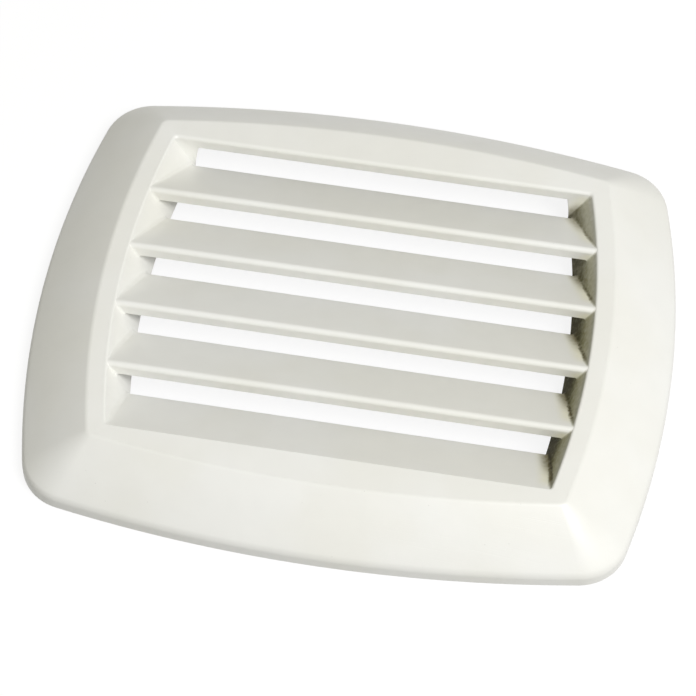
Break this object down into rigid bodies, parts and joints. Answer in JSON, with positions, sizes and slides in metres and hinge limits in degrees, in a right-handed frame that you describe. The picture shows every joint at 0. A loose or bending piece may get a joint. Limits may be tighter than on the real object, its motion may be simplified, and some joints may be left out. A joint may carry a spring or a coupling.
{
  "type": "ventilation grille",
  "caption": "Hollow moulded louvre cover with a bowed outline, sloping bevelled frame and fixed rain-shedding slats, for closing a vent hole in a wall.",
  "frame": {"origin": "middle of the flat rim behind the cover, in the plane that meets the wall", "axes": "+Z out of the wall through the face, +Y up the wall, +X along the slats"},
  "size_m": [0.125, 0.1036, 0.012],
  "materials": {
    "white_plastic": "smooth satin-gloss moulded surface, warm white"
  },
  "bodies": {
    "root": {"louvre_vent_cover": "white_plastic"}
  },
  "joints": []
}
